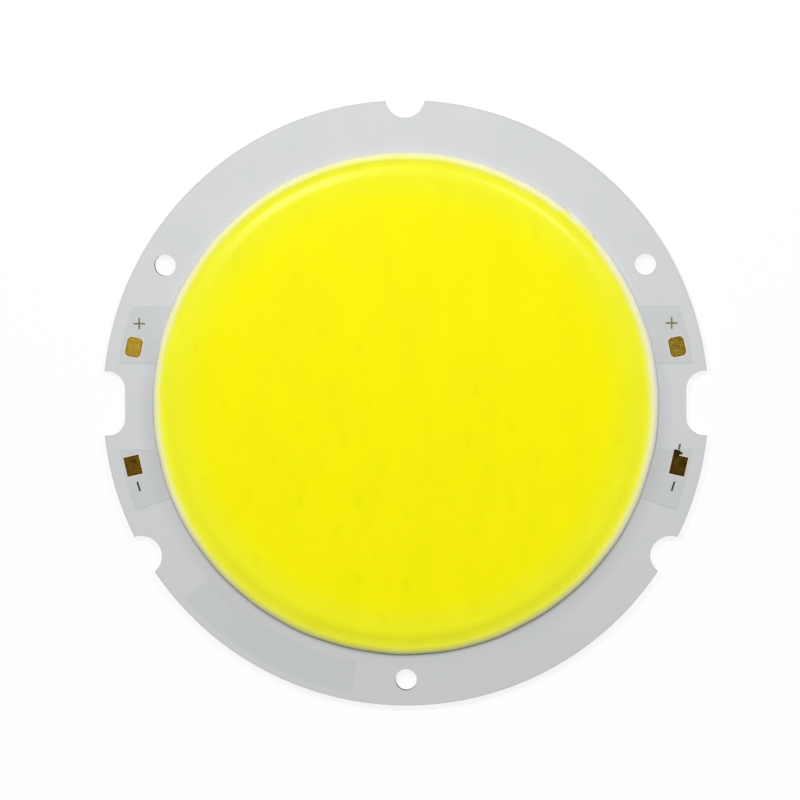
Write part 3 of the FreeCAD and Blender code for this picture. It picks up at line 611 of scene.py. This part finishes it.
# The lap is a short length of bead, rounded at both ends and bent round beside the ring
bpy.ops.object.select_all(action="DESELECT")
bpy.ops.mesh.primitive_uv_sphere_add(segments=48, ring_count=24, radius=1.0)
lap = bpy.context.object
for corner in lap.data.vertices:
    along, out, up = corner.co
    fullness = max(1 - along ** 4, 0) ** 0.5 / max(1 - along ** 2, 1e-6) ** 0.5
    fullness = min(fullness, LAP_BLUNTNESS)
    angle = LAP_ANGLE + along * LAP_HALF_SWEEP
    radius = BEAD_MIDDLE + LAP_OUTSET + out * fullness * LAP_HALF_WIDTH
    corner.co = (radius * math.cos(angle), radius * math.sin(angle),
                 BEAD_TOP - LAP_DEPTH + up * fullness * LAP_HALF_HEIGHT)
bpy.ops.object.select_all(action="DESELECT")
dam.select_set(True)
lap.select_set(True)
bpy.context.view_layer.objects.active = dam
bpy.ops.object.join()
dam.data.remesh_voxel_size = VOXEL
dam.data.remesh_voxel_adaptivity = 0.0
bpy.ops.object.voxel_remesh()
for corner in dam.data.vertices:
    x, y, z = corner.co
    angle = math.atan2(y, x)
    radius = math.hypot(x, y) + bead_drift(angle)
    corner.co = (radius * math.cos(angle), radius * math.sin(angle), z + bead_lift(angle))
smooth = dam.modifiers.new("settle", "SMOOTH")
smooth.factor = 0.5
smooth.iterations = 6
bpy.ops.object.modifier_apply(modifier=smooth.name)
bpy.ops.object.mode_set(mode="EDIT")
bpy.ops.mesh.select_all(action="SELECT")
bpy.ops.mesh.bisect(plane_co=(0, 0, BEAD_FOOT), plane_no=(0, 0, 1), clear_inner=True,
                    threshold=CUT_THRESHOLD)
bpy.ops.mesh.select_all(action="DESELECT")
bpy.ops.mesh.select_non_manifold()
bpy.ops.mesh.bridge_edge_loops()
bpy.ops.mesh.select_all(action="SELECT")
bpy.ops.mesh.normals_make_consistent(inside=False)
bpy.ops.object.mode_set(mode="OBJECT")
bpy.ops.object.shade_smooth_by_angle(angle=CREASE_ANGLE)

# The yellow stain ends in a soft edge, further out on the near left side than on the far right
# side, and runs out in a few lumps over the lap
STAINED = (0.87, 0.865, 0.035)
BARE_WHITE = (0.83, 0.828, 0.79)
STAIN_RADIUS = 31.2
STAIN_FADE = 0.87
STAIN_ANGLE = 245.0
NEAR_SIDE_SHADE_TINT = (0.84, 0.85, 0.80)
SILICONE_DEPTH = 0.00001


def creep_share(tree, where, radius, angle):
    """Nought where the phosphor covers the bead, rising to one on the bare white silicone."""
    lean = calculate(tree, "COSINE", calculate(
        tree, "RADIANS", calculate(tree, "SUBTRACT", angle, STAIN_ANGLE)))
    oval = calculate(tree, "COSINE", times(tree, calculate(tree, "RADIANS", angle), 2.0))
    edge = calculate(tree, "ADD", times(tree, lean, 0.18), times(tree, oval, -0.10))
    edge = calculate(tree, "ADD", edge,
                     span(tree, noise(tree, where, 0.35, 3.0), 0.25, 0.75, -0.12, 0.12, False))
    at_lap = band(tree, angle, 38.0, 56.0, 4.0)
    lumps = span(tree, noise(tree, where, 0.42, 1.0), 0.35, 0.65, -0.12, 0.40, False)
    edge = calculate(tree, "ADD", edge, times(tree, at_lap, lumps))
    past_edge = calculate(tree, "SUBTRACT", radius, edge)
    return span(tree, past_edge, STAIN_RADIUS - STAIN_FADE, STAIN_RADIUS + STAIN_FADE)


def near_side_shade_share(tree, parts):
    """Painted shade on the side nearest the viewer, away from the lamps: one there, fading to nought a
    third of the way across.
    """
    return span(tree, parts["Y"], -30.5, -10.0, 1.0, 0.0)


dam_finish, dam_tree, silicone = new_finish("white_silicone")
dam_where = place_vector(dam_tree)
dam_parts = place_parts(dam_tree)
dam_radius, dam_angle = radius_and_angle(dam_tree, dam_parts)
dam_colour = blend_colour(dam_tree, creep_share(dam_tree, dam_where, dam_radius, dam_angle),
                          STAINED, BARE_WHITE)
# Painted shade darkens the bead on the near side, away from the lamps
dam_colour = tinted(dam_tree, near_side_shade_share(dam_tree, dam_parts), dam_colour, NEAR_SIDE_SHADE_TINT)
dam_tree.links.new(dam_colour, silicone.inputs["Base Color"])
silicone.inputs["Roughness"].default_value = 0.40
silicone.inputs["Specular IOR Level"].default_value = 0.08
silicone.inputs["Subsurface Weight"].default_value = 0.15
silicone.inputs["Subsurface Radius"].default_value = (1.0, 0.9, 0.5)
silicone.inputs["Subsurface Scale"].default_value = 0.3 * MM
add_bump(dam_tree, silicone, noise(dam_tree, dam_where, 3.0, 2.0), SILICONE_DEPTH)
dam.data.materials.append(dam_finish)
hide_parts("dam_ring")
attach(dam, "root")

# Gel: clear silicone loaded with yellow phosphor, poured inside the dam and cured. It lies almost
# flat, rounds down to the dam all round, and the chips show through it as faint darker spots.
gel_low, gel_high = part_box("phosphor_gel")
GEL_SIDES = 540
GEL_LEVEL = 28.4 * MM
GEL_WALL = BEAD_MIDDLE - 0.30 * MM
SHOULDER = 5.8 * MM
MENISCUS = 2.6 * MM
COAT = 0.012 * MM
COAT_END = BEAD_MIDDLE + 0.30 * MM
COAT_TUCK = (0.05 * MM, 0.10 * MM)
GEL_FOOT = 0.1 * MM
SWELL = 0.002 * MM
SWELL_WAVES_X = ((0.16, 0.3), (0.29, 1.7), (0.47, 4.1))
SWELL_WAVES_Y = ((0.13, 2.2), (0.31, 0.9), (0.43, 5.0))
MOST_SWELL = len(SWELL_WAVES_X) + len(SWELL_WAVES_Y)

# The side view is made of three arcs: the shoulder, the meniscus and the coat over the bead
shoulder_centre = Vector((GEL_LEVEL, gel_high.z - SHOULDER))
bead_centre = Vector((BEAD_MIDDLE, BEAD_TOP - DAM_BAND / 2))
coat_radius = DAM_BAND / 2 + COAT
between = bead_centre - shoulder_centre
along_line = ((SHOULDER + MENISCUS) ** 2 - (coat_radius + MENISCUS) ** 2
              + between.length_squared) / (2 * between.length)
off_line = math.sqrt((SHOULDER + MENISCUS) ** 2 - along_line ** 2)
direction = between.normalized()
meniscus_centre = (shoulder_centre + direction * along_line
                   + Vector((-direction.y, direction.x)) * off_line)
shoulder_end = shoulder_centre.lerp(meniscus_centre, SHOULDER / (SHOULDER + MENISCUS)).x
coat_start = bead_centre.lerp(meniscus_centre, coat_radius / (coat_radius + MENISCUS)).x


def gel_height(radius):
    """The top of the gel at a distance from the middle."""
    if radius <= GEL_LEVEL:
        return gel_high.z
    if radius <= shoulder_end:
        return shoulder_centre.y + math.sqrt(SHOULDER ** 2 - (radius - GEL_LEVEL) ** 2)
    if radius <= coat_start:
        return meniscus_centre.y - math.sqrt(MENISCUS ** 2 - (radius - meniscus_centre.x) ** 2)
    return bead_centre.y + math.sqrt(coat_radius ** 2 - (radius - BEAD_MIDDLE) ** 2)


def radii_between(first, last, steps):
    """Radii from first towards last, in even steps, without the last."""
    return [first + (last - first) * step / steps for step in range(steps)]


bpy.ops.object.select_all(action="DESELECT")
bpy.ops.mesh.primitive_circle_add(vertices=GEL_SIDES, radius=GEL_WALL, fill_type="NGON",
                                  location=(0, 0, gel_low.z))
bpy.ops.object.transform_apply(location=True)
gel = bpy.context.object
gel.name = "phosphor_gel_fill"
coat_lip = (COAT_END + COAT_TUCK[0], gel_height(COAT_END) - COAT_TUCK[1])
profile = [coat_lip] + [(radius, gel_height(radius)) for radius in (
    radii_between(COAT_END, coat_start, 6) + radii_between(coat_start, shoulder_end, 8)
    + radii_between(shoulder_end, GEL_LEVEL, 14) + radii_between(GEL_LEVEL, 0.0, 26))]
bpy.ops.object.mode_set(mode="EDIT")
bpy.ops.mesh.select_all(action="SELECT")
at_radius, at_height = GEL_WALL, gel_low.z
for radius, height in profile:
    rise = height - at_height
    bpy.ops.mesh.extrude_region_move(TRANSFORM_OT_translate={"value": (0, 0, rise)})
    shrink = radius / at_radius
    bpy.ops.transform.resize(value=(shrink, shrink, 1.0), center_override=(0, 0, height))
    at_radius, at_height = radius, height
bpy.ops.mesh.poke()
bpy.ops.mesh.select_all(action="SELECT")
bpy.ops.mesh.normals_make_consistent(inside=False)
bpy.ops.object.mode_set(mode="OBJECT")
for corner in gel.data.vertices:
    x, y, z = corner.co
    if z > gel_low.z + GEL_FOOT:
        swell = sum(math.sin(rate * x / MM + phase) for rate, phase in SWELL_WAVES_X)
        swell += sum(math.sin(rate * y / MM + phase) for rate, phase in SWELL_WAVES_Y)
        angle, radius = math.atan2(y, x), math.hypot(x, y)
        # Towards the bead the surface follows the bead's own wandering
        at_bead = min(max((radius - GEL_LEVEL) / (coat_start - GEL_LEVEL), 0.0), 1.0) ** 2
        drift = at_bead * bead_drift(angle)
        lift = at_bead * bead_lift(angle) + (1 - at_bead) * SWELL * (swell - MOST_SWELL)
        corner.co = (math.cos(angle) * (radius + drift), math.sin(angle) * (radius + drift), z + lift)
bpy.ops.object.shade_smooth_by_angle(angle=CREASE_ANGLE)

# Chips lie on rings one pitch apart, each with five times its number less one, from the top round
RING_COUNT = 6
RING_GROWTH = 5.0
GEL_REACH = 30.1
CHIP_MARGIN = 2.92
RING_PITCH = (GEL_REACH - CHIP_MARGIN) / RING_COUNT
TOP_ANGLE = 90.0
GEL_MIDDLE = (0.937, 0.873, 0.0008)
GEL_SHADED_EDGE = (0.87, 0.87, 0.022)
SPOT_TINT = (0.94, 0.94, 0.6)
CLOUD_STRETCH = (1.0, 0.45, 1.0)
CLOUD_TINT = (0.975, 0.975, 0.9)
FINE_TINT = (0.97, 0.975, 0.9)
GEL_DEPTH = 0.000008
gel_finish, gel_tree, phosphor = new_finish("yellow_phosphor")
gel_where = place_vector(gel_tree)
gel_parts = place_parts(gel_tree)
gel_radius, gel_angle = radius_and_angle(gel_tree, gel_parts)
ring_number = calculate(gel_tree, "ROUND", calculate(gel_tree, "DIVIDE", gel_radius, RING_PITCH))
ring_chips = calculate(gel_tree, "SUBTRACT", times(gel_tree, ring_number, RING_GROWTH), 1.0)
from_top = calculate(gel_tree, "DIVIDE", calculate(gel_tree, "SUBTRACT", gel_angle, TOP_ANGLE), 360.0)
nearest = calculate(gel_tree, "ROUND", times(gel_tree, from_top, ring_chips))
chip_angle = calculate(gel_tree, "ADD", times(
    gel_tree, calculate(gel_tree, "DIVIDE", nearest, ring_chips), math.tau), math.pi / 2)
chip_ring = times(gel_tree, ring_number, RING_PITCH)
chip_x = times(gel_tree, chip_ring, calculate(gel_tree, "COSINE", chip_angle))
chip_y = times(gel_tree, chip_ring, calculate(gel_tree, "SINE", chip_angle))
off_x = calculate(gel_tree, "ABSOLUTE", calculate(gel_tree, "SUBTRACT", gel_parts["X"], chip_x))
off_y = calculate(gel_tree, "ABSOLUTE", calculate(gel_tree, "SUBTRACT", gel_parts["Y"], chip_y))
spot = times(gel_tree, span(gel_tree, off_x, 0.0, 0.90, 1.0, 0.0),
             span(gel_tree, off_y, 0.20, 1.50, 1.0, 0.0))
spot = times(gel_tree, spot, span(gel_tree, gel_parts["Y"], -20.0, 15.0, 0.80, 0.35))
# Some chips show through more than others
chip_place = gel_tree.nodes.new("ShaderNodeCombineXYZ")
link_nodes(gel_tree, (ring_number, chip_place.inputs[0]), (nearest, chip_place.inputs[1]))
chip_lot = gel_tree.nodes.new("ShaderNodeTexWhiteNoise")
gel_tree.links.new(chip_place.outputs[0], chip_lot.inputs["Vector"])
spot = times(gel_tree, spot, span(gel_tree, chip_lot.outputs["Value"], 0.0, 1.0, 0.10, 1.0))
clouds = noise(gel_tree, place_vector(gel_tree, CLOUD_STRETCH), 0.30, 4.0)
fine = noise(gel_tree, gel_where, 1.2, 3.0)
# Towards the edge the gel turns duller and a little paler: painted shade that keeps the shoulder facing
# the lamps no brighter than the middle
gel_colour = blend_colour(gel_tree, span(gel_tree, gel_radius, 24.5, 29.8), GEL_MIDDLE, GEL_SHADED_EDGE)
gel_colour = blend_colour(gel_tree, span(gel_tree, gel_radius, 29.6, 30.6), gel_colour, STAINED)
gel_colour = blend_colour(gel_tree, creep_share(gel_tree, gel_where, gel_radius, gel_angle),
                          gel_colour, BARE_WHITE)
# Painted shade darkens the edge of the gel on the near side, away from the lamps
near_edge_shade = times(gel_tree, near_side_shade_share(gel_tree, gel_parts), span(gel_tree, gel_radius, 28.6, 31.0))
gel_colour = tinted(gel_tree, near_edge_shade, gel_colour, NEAR_SIDE_SHADE_TINT)
gel_colour = tinted(gel_tree, spot, gel_colour, SPOT_TINT)
gel_colour = tinted(gel_tree, span(gel_tree, clouds, 0.35, 0.70), gel_colour, CLOUD_TINT)
gel_colour = tinted(gel_tree, span(gel_tree, fine, 0.35, 0.75, 0.0, 0.5), gel_colour, FINE_TINT)
gel_tree.links.new(gel_colour, phosphor.inputs["Base Color"])
phosphor.inputs["Roughness"].default_value = 0.27
phosphor.inputs["Specular IOR Level"].default_value = 0.085
add_bump(gel_tree, phosphor, fine, GEL_DEPTH)
gel.data.materials.append(gel_finish)
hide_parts("phosphor_gel")
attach(gel, "root")
